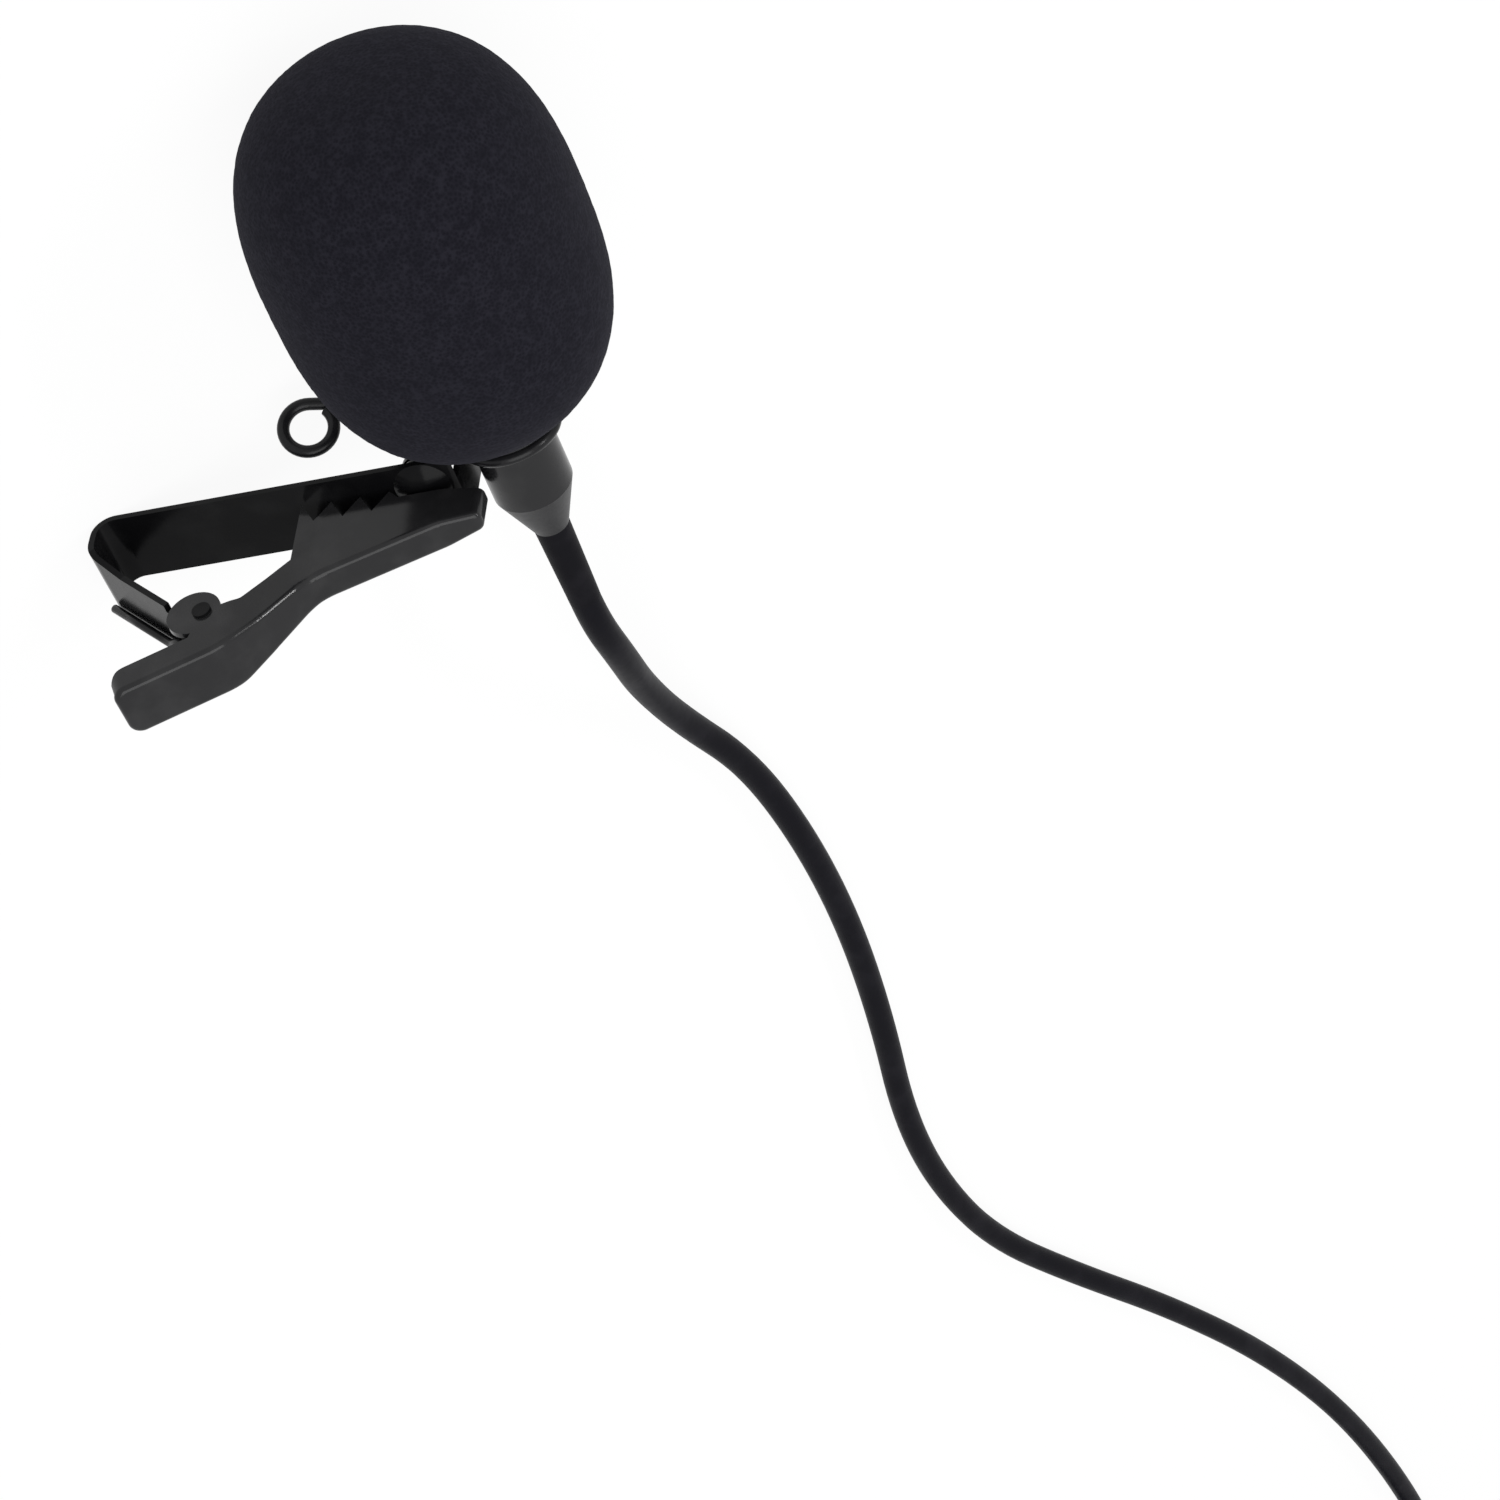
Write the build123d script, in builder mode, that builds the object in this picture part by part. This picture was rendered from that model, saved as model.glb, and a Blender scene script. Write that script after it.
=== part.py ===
from build123d import *
import os
from math import acos, asin, atan2, ceil, cos, degrees, hypot, pi, radians, sin, tan

# A clip-on (lavalier) microphone lying on a table.  Lengths are millimetres, +Z is up and z = 0 is the
# table.  The head lies along Y, with its foam windscreen towards -Y and its cable towards +Y.  The clip
# reaches out towards +X and slopes down until its rear bend touches the table.  The origin is the
# middle of the object's footprint, without the cable.

# ---------------------------------------------------------------- windscreen and head
foam_diameter = 25.5
foam_length = 33.1
foam_fullness = 2.7  # exponent of the egg's outline: 2 is an ellipse, more is fuller
foam_flat = 0.5  # how deep the foam is pressed flat where it lies on the table
foam_rear_gap = 8.05  # from the body's rear rim to the foam's rear end
foam_end_gap = 0.55  # between the grille cap and the end of the foam's bore
foam_clearance = 0.3

body_r = 3.3
body_wall = 0.35
body_length = 20.0
fit_gap = 0.02  # between pieces that sit in one another
cap_length = 2.5
cap_front = 0.5
cap_hole_r = 0.4
cap_hole_ring_r = 1.6
cap_hole_count = 6
spigot_length = 2.0
felt_thickness = 0.5
gasket_wall = 0.3
capsule_length = 4.0
capsule_port_r = 0.8
board_thickness = 0.6
cone_length = 4.5
relief_root_r = 1.5
relief_end_r = 1.32
relief_length = 8.5
clamp_length = 3.0
clamp_wall = 0.45

# ---------------------------------------------------------------- cable
cable_d = 2.4
cable_r = cable_d / 2
table_gap = 0.02  # the cable's underside over the table
corner_share = 0.45  # of a straight run that the arc at its end may take
coil_r = 18.6  # outermost turn, to the cable's middle
coil_pitch = 3.5  # from one turn to the next
coil_rise = 3.0  # from one layer to the next
coil_layers = 4
coil_half_turns = 7  # in each layer
coil_end = 2.4  # straight end
sample_step = 1.5  # along the coil, where its gap to itself is measured

# ---------------------------------------------------------------- clip: sheet and wire
sheet = 0.5  # thickness of both stamped jaws
wire_d = 1.0
wire_gap = 0.03  # on each side of the wire, against the body and against the strap
wire_turn_pitch = 1.1
wire_half_turns = 3
jaw_setback = 1.75  # from the body's rear rim to the strap's rear edge
strap_width = 6.3
strap_start = 4.0  # from the head's axis along the strap to the middle of the front tab
strap_reach = 33.15  # from the head's axis along the strap to the middle of the rear bend's upright
tab_depth = 5.5
tab_width = 4.0
tab_bend_r = 0.6
bend_r = 1.6  # middle of the sheet at the strap's end
bend_rise = 3.55  # between the two corners of the rear bend
leaf_bend_r = 2.5  # middle of the sheet where the leaf turns back

# hinge
pin_from_bend = 10.6  # along the strap, from the rear bend to the pin
pin_height = 11.4  # over the strap's inner face
pin_r = 0.75
pin_clearance = 0.05
pin_head = 0.25  # how far the pin stands out of each ear
knuckle_wrap = 262.0  # degrees of sheet round the pin
knuckle_width = 1.15
side_gap = 0.15  # between the pieces that share the pin
ear_r = 2.2
ear_from_pin = 0.7  # the ear's middle lies this far behind the pin
leaf_width = 4.7
leaf_taper = 4.0  # length over which the strap narrows to the leaf

# lever, outline from the head's axis or from the pin, and heights over the strap's inner face
nose_reach = 1.5
nose_height = 4.1
nose_width = 1.7
nose_r = 0.7
knee_reach = 4.6
knee_height = 5.0
waist_from_pin = 7.85
waist_height = 8.7
ramp_from_pin = 4.65
ramp_height = 12.8
heel_from_pin = 2.25
heel_height = 15.5
crease_r = 5.5
plan_r = 4.0
pad_length = 9.1
pad_angle = 22.6
pad_flange = 2.5
pad_corner_r = 1.1
flange_corner_r = 1.6
front_width = 2.8
heel_width = 4.7
fold_r = 0.45
neck_from_pin = 2.9
neck_height = 10.5
neck_r = 1.0
lip_height = 1.2
plate_from_pin = 6.25
plate_height = 6.5
tooth_gap = 0.4
tooth_depth = 1.9
tooth_pitch = 2.4
tooth_count = 3

# closing spring, a bent wire wound round the pin
spring_wire_d = 0.7
spring_gap = 0.05
spring_half_turns = 3
spring_exit = 125.0  # degrees of the last part turn
spring_pitch = 0.74
spring_leg = 12.6  # along the leaf, from the pin
leg_inset = 0.1  # from the leaf's far edge to the leg's middle
spring_jog = 1.5  # length over which the leg steps aside
spring_bend_r = 1.0
spring_arm = 4.5
spring_touch = 5.5  # along the pad, from the heel to the arm's end

# holder rivet
rivet_reach = 6.5  # from the head's axis along the strap
rivet_forward = 0.9  # from the strap's middle line towards the foam
rivet_shank_r = 0.9
rivet_dome_r = 2.3
rivet_dome_height = 0.75
rivet_head_r = 1.9
rivet_head_height = 0.5

# finger eye of the holder wire
eye_r = 2.0  # middle of the wire
eye_reach = 15.4  # along the strap, from the head's axis
eye_drop = 0.3  # below the head's axis, square to the strap
eye_back = 9.4  # in front of the body's rear rim
eye_lean = 30.0  # degrees that the eye leans back from upright
eye_entry = 30.0  # degrees that the leg slopes down where it joins the eye
loop_arc = 318.0  # degrees of wire in the eye and in the anchor loop
leg_exit = 4.0
leg_entry = 3.5
leg_bend_r = 3.0

# ---------------------------------------------------------------- plug, 3.5 mm stereo
jack_r = 1.75
jack_sleeve_length = 7.0
jack_ring_length = 3.1
jack_insulator_length = 0.7
jack_tip_length = 3.4
jack_tip_crown_r = 1.7
jack_tip_nose_r = 0.7
jack_tip_neck_r = 1.2
jack_tip_neck = 0.4  # length of the narrow part behind the tip's crown
jack_tip_slope = 0.95
jack_tip_crown = 0.5
jack_stem_r = 1.4
jack_seat = 3.0  # how far the sleeve's stem reaches into the barrel
plug_barrel_r = 3.9
plug_barrel_length = 16.0
plug_chamfer = 0.6
plug_relief_length = 9.0
plug_relief_root_r = 2.5
plug_relief_end_r = 1.6
plug_groove_count = 4
plug_groove_r = 1.5  # floor of the grooves

# ---------------------------------------------------------------- placing
axis_x = -11.99  # the head's axis, left of the origin
rim_y = 14.08  # the body's rear rim
axis_z = foam_diameter / 2 - foam_flat
foam_y = rim_y - foam_rear_gap - foam_length / 2
clip_y = rim_y - jaw_setback - strap_width / 2
rivet_y = clip_y - rivet_forward

strap_outer = body_r + wire_d + 2 * wire_gap  # from the head's axis
strap_mid = strap_outer + sheet / 2
strap_inner = strap_outer + sheet
pin_u = strap_reach - pin_from_bend
pin_v = strap_inner + pin_height
bend_outer_r = bend_r + sheet / 2
bend_u = strap_reach - bend_r
bend_v = strap_mid + bend_r
# the slope that sets the rear bend on the table
tilt = degrees(atan2(bend_v, bend_u) + asin((axis_z - bend_outer_r) / hypot(bend_u, bend_v)))

ACROSS = Vector(0, -1, 0)
ALONG = Vector(cos(radians(tilt)), 0, -sin(radians(tilt)))
OUT = Vector(sin(radians(tilt)), 0, cos(radians(tilt)))


def clip_plane(y):
    """Side view of the clip at this y: local x runs along the strap, local y square to it."""
    return Plane(origin=(axis_x, y, axis_z), x_dir=ALONG, z_dir=ACROSS)


def clip_point(u, v, y):
    """The point u along the strap and v square to it from the head's axis, at this y."""
    return Vector(axis_x, y, axis_z) + ALONG * u + OUT * v


def head_plane(y):
    """Plane square to the head's axis, y behind the body's rear rim, facing the cable."""
    return Plane(origin=(axis_x, rim_y + y, axis_z), x_dir=(1, 0, 0), z_dir=(0, 1, 0))


def save(builder, label):
    """Name the finished piece and write it to its own file."""
    builder.part.label = label
    export_step(builder.part, f"parts/{label}.step")


def biarc(start, end, heading):
    """Half a turn from start to end as two arcs; it leaves along heading and ends against it."""
    reach = (end - start).length / 2
    middle = (start + end) * 0.5 + heading * reach
    TangentArc(start, middle, tangent=heading)
    TangentArc(middle, end, tangent=end - start)


def turn_radii(points):
    """Radius at each inner point: a share of the shorter run over the tangent of half the turn."""
    radii = []
    for before, here, after in zip(points, points[1:], points[2:]):
        turn = (here - before).get_angle(after - here)
        shorter = min((here - before).length, (after - here).length)
        radii.append(corner_share * shorter / tan(radians(turn / 2)))
    return radii


os.makedirs("parts", exist_ok=True)

# ================================================================ windscreen
foam_r = foam_diameter / 2
foam_steps = 7


def foam_radius(offset):
    """Radius of the egg at this distance from its middle."""
    share = min(abs(offset) / (foam_length / 2), 1)
    return foam_r * (1 - share**foam_fullness) ** (1 / foam_fullness)


def foam_offset(radius):
    """Distance from the egg's middle at which it has this radius."""
    return foam_length / 2 * (1 - (radius / foam_r) ** foam_fullness) ** (1 / foam_fullness)


quarter = [(foam_length / 2, 0)]
for step in range(1, foam_steps):
    angle = radians(90 * step / foam_steps)
    if step * 2 < foam_steps:
        quarter.append((foam_offset(foam_r * sin(angle)), foam_r * sin(angle)))
    else:
        quarter.append((foam_length / 2 * cos(angle), foam_radius(foam_length / 2 * cos(angle))))
outline = quarter + [(0, foam_r)] + [(-x, r) for x, r in reversed(quarter)]
foam_profile_plane = Plane(origin=(axis_x, foam_y, axis_z), x_dir=(0, 1, 0), z_dir=(1, 0, 0))
with BuildPart() as windscreen:
    with BuildSketch(foam_profile_plane):
        with BuildLine():
            Spline(*outline, tangents=[(0, 1), (0, -1)])
            Line(outline[-1], outline[0])
        make_face()
    revolve(axis=Axis((axis_x, foam_y, axis_z), (0, 1, 0)))
    with BuildSketch(head_plane(-body_length - cap_length - foam_end_gap)):
        Circle(body_r + foam_clearance)
    extrude(amount=body_length + cap_length + foam_end_gap, mode=Mode.SUBTRACT)
    with BuildSketch(Plane.XY.offset(-foam_flat - foam_clearance)):
        with Locations((axis_x, foam_y)):
            Rectangle(foam_diameter * 2, foam_length * 2)
    extrude(amount=foam_flat + foam_clearance, mode=Mode.SUBTRACT)
save(windscreen, "windscreen")

# ================================================================ head
bore_r = body_r - body_wall
with BuildPart() as mic_housing:
    with BuildSketch(head_plane(-body_length)):
        Circle(body_r)
        Circle(bore_r, mode=Mode.SUBTRACT)
    extrude(amount=body_length)
save(mic_housing, "mic_housing")

cap_front_y = -body_length - cap_length
with BuildPart() as grille_cap:
    with BuildSketch(head_plane(cap_front_y)):
        Circle(body_r)
    extrude(amount=cap_length)
    with BuildSketch(head_plane(-body_length)):
        Circle(bore_r - fit_gap)
    extrude(amount=spigot_length)
    with BuildSketch(head_plane(cap_front_y + cap_front)):
        Circle(bore_r - body_wall)
    extrude(amount=cap_length + spigot_length, mode=Mode.SUBTRACT)
    with BuildSketch(head_plane(cap_front_y)):
        Circle(cap_hole_r)
        with PolarLocations(cap_hole_ring_r, cap_hole_count):
            Circle(cap_hole_r)
    extrude(amount=cap_front, mode=Mode.SUBTRACT)
save(grille_cap, "grille_cap")

with BuildPart() as grille_felt:
    with BuildSketch(head_plane(cap_front_y + cap_front)):
        Circle(bore_r - body_wall - fit_gap)
    extrude(amount=felt_thickness)
save(grille_felt, "grille_felt")

capsule_r = bore_r - gasket_wall - 2 * fit_gap
capsule_front = -body_length + spigot_length + fit_gap
with BuildPart() as capsule:
    with BuildSketch(head_plane(capsule_front)):
        Circle(capsule_r)
    extrude(amount=capsule_length)
    with BuildSketch(head_plane(capsule_front)):
        Circle(capsule_port_r)
    extrude(amount=capsule_length / 4, mode=Mode.SUBTRACT)
save(capsule, "capsule")

with BuildPart() as capsule_gasket:
    with BuildSketch(head_plane(capsule_front)):
        Circle(bore_r - fit_gap)
        Circle(capsule_r + fit_gap, mode=Mode.SUBTRACT)
    extrude(amount=capsule_length)
save(capsule_gasket, "capsule_gasket")

board_y = capsule_front + capsule_length
with BuildPart() as capsule_board:
    with BuildSketch(head_plane(board_y)):
        Circle(capsule_r)
    extrude(amount=board_thickness)
save(capsule_board, "capsule_board")

cable_hole_r = cable_r + fit_gap
cable_end_y = cone_length + relief_length
inner_start = -spigot_length - clamp_length
with BuildPart() as tail_cone:
    with BuildSketch(head_plane(-spigot_length)):
        Circle(bore_r - fit_gap)
    extrude(amount=spigot_length)
    with BuildSketch(head_plane(0)):
        Circle(body_r)
    with BuildSketch(head_plane(cone_length)):
        Circle(relief_root_r)
    loft()
    with BuildSketch(head_plane(-spigot_length)):
        Circle(cable_hole_r)
    extrude(amount=spigot_length + cone_length, mode=Mode.SUBTRACT)
save(tail_cone, "tail_cone")

with BuildPart() as strain_relief:
    with BuildSketch(head_plane(cone_length)):
        Circle(relief_root_r)
    with BuildSketch(head_plane(cable_end_y)):
        Circle(relief_end_r)
    loft()
    with BuildSketch(head_plane(cone_length)):
        Circle(cable_hole_r)
    extrude(amount=relief_length, mode=Mode.SUBTRACT)
save(strain_relief, "strain_relief")

with BuildPart() as inner_cable:
    with BuildSketch(head_plane(inner_start)):
        Circle(cable_r)
    extrude(amount=cable_end_y - inner_start)
save(inner_cable, "inner_cable")

with BuildPart() as cable_clamp:
    with BuildSketch(head_plane(inner_start)):
        Circle(cable_hole_r + clamp_wall)
        Circle(cable_hole_r, mode=Mode.SUBTRACT)
    extrude(amount=clamp_length)
save(cable_clamp, "cable_clamp")

# ================================================================ clip, upper jaw
# One bent strip: front tab, strap, rear bend, leaf, and a knuckle rolled round the pin.
knuckle_mid_r = pin_r + pin_clearance + sheet / 2
leaf_corner = (strap_reach, strap_mid + bend_rise)
pin_to_corner = (leaf_corner[0] - pin_u, leaf_corner[1] - pin_v)
pin_to_corner_length = hypot(pin_to_corner[0], pin_to_corner[1])
seat_angle = degrees(atan2(pin_to_corner[1], pin_to_corner[0]) + acos(knuckle_mid_r / pin_to_corner_length))
leaf_seat = (
    pin_u + knuckle_mid_r * cos(radians(seat_angle)),
    pin_v + knuckle_mid_r * sin(radians(seat_angle)),
)
leaf_length = hypot(leaf_corner[0] - leaf_seat[0], leaf_corner[1] - leaf_seat[1])
ear_room = heel_width / 2 - sheet - side_gap  # from the middle to a piece beside the ear
strap_edge_y = clip_y + strap_width / 2
leaf_plane = Plane(
    origin=clip_point(leaf_seat[0], leaf_seat[1], clip_y),
    x_dir=clip_point(*leaf_corner, clip_y) - clip_point(*leaf_seat, clip_y),
    z_dir=ALONG * cos(radians(seat_angle)) + OUT * sin(radians(seat_angle)),
)
narrow_length = ear_from_pin + ear_r + sheet  # the leaf keeps the knuckle's width for this long
knuckle_room = 2 * (knuckle_mid_r + sheet)
with BuildPart() as upper_jaw:
    with BuildSketch(clip_plane(strap_edge_y)):
        with BuildLine() as strip:
            FilletPolyline(
                (strap_start, strap_mid - tab_depth),
                (strap_start, strap_mid),
                (strap_reach, strap_mid),
                leaf_corner,
                leaf_seat,
                radius=[tab_bend_r, bend_r, leaf_bend_r],
            )
            CenterArc((pin_u, pin_v), knuckle_mid_r, seat_angle, knuckle_wrap)
        trace(line_width=sheet)
    extrude(amount=strap_width)
    # the tab stands clear of the wire turns
    with BuildSketch(clip_plane(strap_edge_y - tab_width)):
        with Locations((strap_start, strap_outer - tab_depth / 2 - wire_gap)):
            Rectangle(4 * sheet, tab_depth)
    extrude(amount=strap_width - tab_width, mode=Mode.SUBTRACT)
    # the leaf tapers from the strap's width and ends in a narrow knuckle, which leaves room for the spring
    with BuildSketch(leaf_plane.offset(-knuckle_room)):
        for side, knuckle_edge in ((-1, -ear_room), (1, knuckle_width - ear_room)):
            with BuildLine():
                Polyline(
                    (leaf_length, side * strap_width / 2),
                    (leaf_length - leaf_taper, side * leaf_width / 2),
                    (narrow_length, side * leaf_width / 2),
                    (narrow_length, knuckle_edge),
                    (-knuckle_room, knuckle_edge),
                    (-knuckle_room, side * strap_width),
                    (leaf_length, side * strap_width),
                    close=True,
                )
            make_face()
    extrude(amount=knuckle_room + sheet, mode=Mode.SUBTRACT)
    with BuildSketch(Plane(origin=clip_point(rivet_reach, strap_outer, rivet_y), z_dir=OUT)):
        Circle(rivet_shank_r)
    extrude(amount=sheet, mode=Mode.SUBTRACT)
save(upper_jaw, "upper_jaw")

# ================================================================ clip, lever (lower jaw)
pad_u = cos(radians(pad_angle))
pad_v = sin(radians(pad_angle))
heel = (pin_u - heel_from_pin, strap_inner + heel_height)
pad_end = (heel[0] + pad_length * pad_u, heel[1] + pad_length * pad_v)
pad_low = (pad_end[0] + pad_flange * pad_v, pad_end[1] - pad_flange * pad_u)
flange_start = (pad_low[0] - (pad_length - ear_r) * pad_u, pad_low[1] - (pad_length - ear_r) * pad_v)
web_outline = [
    (nose_reach, strap_inner + nose_height),
    (knee_reach, strap_inner + knee_height),
    (pin_u - waist_from_pin, strap_inner + waist_height),
    (pin_u - ramp_from_pin, strap_inner + ramp_height),
    heel,
    pad_end,
]
plate_u = pin_u - plate_from_pin
tooth_tip = strap_inner + tooth_gap
lip_edge = strap_inner + lip_height
toothed_edge = [(plate_u, tooth_tip)]
for tooth in range(1, tooth_count + 1):
    toothed_edge.append((plate_u - (tooth - 0.5) * tooth_pitch, tooth_tip + tooth_depth))
    toothed_edge.append((plate_u - tooth * tooth_pitch, tooth_tip))
toothed_edge.append((toothed_edge[-1][0] - (lip_height - tooth_gap), lip_edge))
neck = (pin_u - neck_from_pin, strap_inner + neck_height)
side_outline = (
    web_outline
    + [pad_low, flange_start, (pin_u, pin_v), neck, (plate_u, strap_inner + plate_height)]
    + toothed_edge
    + [(nose_reach, lip_edge)]
)
web_radii = [0] + [crease_r] * (len(web_outline) - 2) + [0]
side_radii = web_radii + [flange_corner_r, 0, 0, neck_r, 0] + [0] * len(toothed_edge) + [0]
plan_stations = [
    (knee_reach, front_width),
    (pin_u - waist_from_pin, front_width),
    (pin_u - ramp_from_pin, (front_width + heel_width) / 2),
    (pin_u - heel_from_pin, heel_width),
]
jaw_top = strap_inner + heel_height + pad_length
jaw_plan_plane = Plane(origin=clip_point(0, 0, clip_y), x_dir=ALONG, z_dir=OUT)
pad_plane = Plane(
    origin=clip_point(*pad_end, clip_y),
    x_dir=ALONG * pad_u + OUT * pad_v,
    z_dir=OUT * pad_u - ALONG * pad_v,
)


def jaw_plan(inset, rear_reach):
    """Corners of the lever's plan, drawn in by inset at the sides and at the nose."""
    right = [(nose_reach + inset, nose_width / 2 - inset)]
    for u, width in plan_stations:
        right.append((u, width / 2 - inset))
    right.append((pin_u + rear_reach, heel_width / 2 - inset))
    left = [(u, -half) for u, half in reversed(right)]
    return right + left


def plan_radii(nose):
    """Radius at each corner of the lever's plan, with this one at the nose."""
    right = [nose] + [plan_r] * len(plan_stations) + [0]
    return right + right[::-1]


def beneath(points, depth):
    """Corners of the same line moved down square to itself by depth."""
    slopes = [atan2(end[1] - start[1], end[0] - start[0]) for start, end in zip(points, points[1:])]
    moved = []
    for (u, v), before, after in zip(points, slopes[:1] + slopes, slopes + slopes[-1:]):
        reach = depth / cos((after - before) / 2)
        lean = (after + before) / 2
        moved.append((u + reach * sin(lean), v - reach * cos(lean)))
    return moved


pad_reach = pad_length + pad_flange
inner_line = beneath(web_outline, sheet)
inner_end = (inner_line[-1][0] + pad_flange * pad_u, inner_line[-1][1] + pad_flange * pad_v)
with BuildPart() as jaw_channel:
    with BuildSketch(clip_plane(clip_y + heel_width / 2)):
        with BuildLine():
            FilletPolyline(
                (inner_line[0][0] - sheet, inner_line[0][1]),
                *inner_line[1:-1],
                inner_end,
                (inner_end[0], 0),
                (inner_line[0][0] - sheet, 0),
                radius=[0] + [crease_r] * (len(inner_line) - 2) + [0, 0, 0],
                close=True,
            )
        make_face()
    extrude(amount=heel_width)
    with BuildSketch(jaw_plan_plane):
        with BuildLine():
            FilletPolyline(*jaw_plan(sheet, 2 * pad_reach), radius=plan_radii(0), close=True)
        make_face()
    extrude(amount=jaw_top, mode=Mode.INTERSECT)

with BuildPart() as lower_jaw:
    with BuildSketch(clip_plane(clip_y + heel_width / 2)):
        with BuildLine():
            FilletPolyline(*side_outline, radius=side_radii, close=True)
        make_face()
        with Locations((pin_u + ear_from_pin, pin_v)):
            Circle(ear_r)
    extrude(amount=heel_width)
    with BuildSketch(jaw_plan_plane):
        with BuildLine():
            FilletPolyline(*jaw_plan(0, pad_reach), radius=plan_radii(nose_r), close=True)
        make_face()
    extrude(amount=jaw_top, mode=Mode.INTERSECT)
    # the pad's corners are rounded in its own plane
    with BuildSketch(pad_plane.offset(pad_corner_r)):
        for side in (-1, 1):
            with Locations((0, side * heel_width / 2)):
                Rectangle(2 * pad_corner_r, 2 * pad_corner_r)
            with Locations((-pad_corner_r, side * (heel_width / 2 - pad_corner_r))):
                Circle(pad_corner_r, mode=Mode.SUBTRACT)
    extrude(amount=-pad_corner_r - 2 * pad_flange, mode=Mode.SUBTRACT)
    # the fold between the crest and the sides
    crest = lower_jaw.faces().filter_by(lambda face: face.normal_at().dot(OUT) > 0.5)
    rims = [edge for face in crest for edge in face.edges()]
    fold = [edge for edge in rims if sum(edge.is_same(other) for other in rims) == 1]
    fillet(fold, radius=fold_r)
    add(jaw_channel.part, mode=Mode.SUBTRACT)
    with BuildSketch(clip_plane(clip_y + heel_width / 2)):
        with Locations((pin_u, pin_v)):
            Circle(pin_r)
    extrude(amount=heel_width, mode=Mode.SUBTRACT)
save(lower_jaw, "lower_jaw")

with BuildPart() as hinge_pin:
    with BuildSketch(clip_plane(clip_y + heel_width / 2 + pin_head)):
        with Locations((pin_u, pin_v)):
            Circle(pin_r)
    extrude(amount=heel_width + 2 * pin_head)
save(hinge_pin, "hinge_pin")

# ================================================================ closing spring
# A wire wound round the pin.  Its long leg lies on the leaf, its arm presses the pad from inside.
spring_r = spring_wire_d / 2
spring_lift = sheet / 2 + spring_gap + spring_r
spring_coil_r = knuckle_mid_r + spring_lift
spring_y = clip_y + ear_room - spring_r
leg_y = clip_y + leaf_width / 2 - leg_inset
leaf_dir = (sin(radians(seat_angle)), -cos(radians(seat_angle)))
leaf_out = (cos(radians(seat_angle)), sin(radians(seat_angle)))


def over_leaf(along, y):
    """Point on the spring's leg, this far along the leaf from the pin."""
    u = pin_u + leaf_dir[0] * along + leaf_out[0] * spring_coil_r
    v = pin_v + leaf_dir[1] * along + leaf_out[1] * spring_coil_r
    return clip_point(u, v, y)


def under_pad(along, y):
    """Point on the spring's arm, this far along the pad from the heel."""
    drop = sheet + spring_gap + spring_r
    return clip_point(heel[0] + along * pad_u + drop * pad_v, heel[1] + along * pad_v - drop * pad_u, y)


def round_pin(angle, y):
    """Point on the spring's coil at this angle."""
    u = pin_u + spring_coil_r * cos(radians(angle))
    v = pin_v + spring_coil_r * sin(radians(angle))
    return clip_point(u, v, y)


with BuildPart() as closing_spring:
    with BuildLine() as spring_path:
        FilletPolyline(
            over_leaf(spring_leg, leg_y),
            over_leaf(narrow_length + spring_jog, leg_y),
            over_leaf(narrow_length, spring_y),
            over_leaf(0, spring_y),
            radius=spring_bend_r,
        )
        here = over_leaf(0, spring_y)
        heading = ALONG * -leaf_dir[0] + OUT * -leaf_dir[1]
        for half in range(spring_half_turns):
            there = round_pin(seat_angle + 180 * (half + 1), here.Y - spring_pitch / 2)
            biarc(here, there, heading)
            here = there
            heading = -heading
        exit_angle = seat_angle + 180 * spring_half_turns + spring_exit
        exit_y = here.Y - spring_pitch * spring_exit / 360
        TangentArc(here, round_pin(exit_angle, exit_y), tangent=heading)
        here = spring_path.wire() @ 1
        heading = spring_path.wire() % 1
        FilletPolyline(
            here,
            here + heading * spring_arm,
            under_pad(spring_touch, here.Y),
            radius=spring_bend_r,
        )
    with BuildSketch(Plane(origin=spring_path.wire() @ 0, z_dir=spring_path.wire() % 0)):
        Circle(spring_r)
    sweep()
save(closing_spring, "closing_spring")

# ================================================================ holder rivet
rivet_face = strap_outer - wire_d - 2 * wire_gap
with BuildPart() as holder_rivet:
    with BuildSketch(Plane(origin=clip_point(rivet_reach, rivet_face, rivet_y), z_dir=OUT)):
        Circle(rivet_shank_r)
    extrude(amount=strap_inner - rivet_face)
    with BuildSketch(Plane(origin=clip_point(rivet_reach, rivet_face, rivet_y), z_dir=OUT)):
        Circle(rivet_head_r)
    extrude(amount=-rivet_head_height)
    with BuildSketch(clip_plane(rivet_y)):
        with BuildLine():
            foot = (rivet_reach + rivet_dome_r, strap_inner)
            top = (rivet_reach, strap_inner + rivet_dome_height)
            RadiusArc(foot, top, -(rivet_dome_r**2 + rivet_dome_height**2) / (2 * rivet_dome_height))
            Polyline(top, (rivet_reach, strap_inner), foot)
        make_face()
    revolve(axis=Axis(clip_point(rivet_reach, 0, rivet_y), OUT))
save(holder_rivet, "holder_rivet")

# ================================================================ holder wire
wire_r = wire_d / 2
turn_r = body_r + wire_gap + wire_r
anchor_r = rivet_shank_r + wire_gap + wire_r
anchor_plane = Plane(origin=clip_point(rivet_reach, turn_r, rivet_y), x_dir=ALONG, z_dir=OUT)
first_turn_y = rivet_y - anchor_r
UP = Vector(0, 0, 1)
BACK = Vector(0, 1, 0)
RIGHT = Vector(1, 0, 0)
eye_up = UP * cos(radians(eye_lean)) + BACK * sin(radians(eye_lean))
eye_centre = clip_point(eye_reach, -eye_drop, rim_y - eye_back)
eye_plane = Plane(origin=eye_centre, x_dir=RIGHT, z_dir=RIGHT.cross(eye_up))
leg_heading = RIGHT * cos(radians(eye_entry)) - eye_up * sin(radians(eye_entry))


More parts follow.
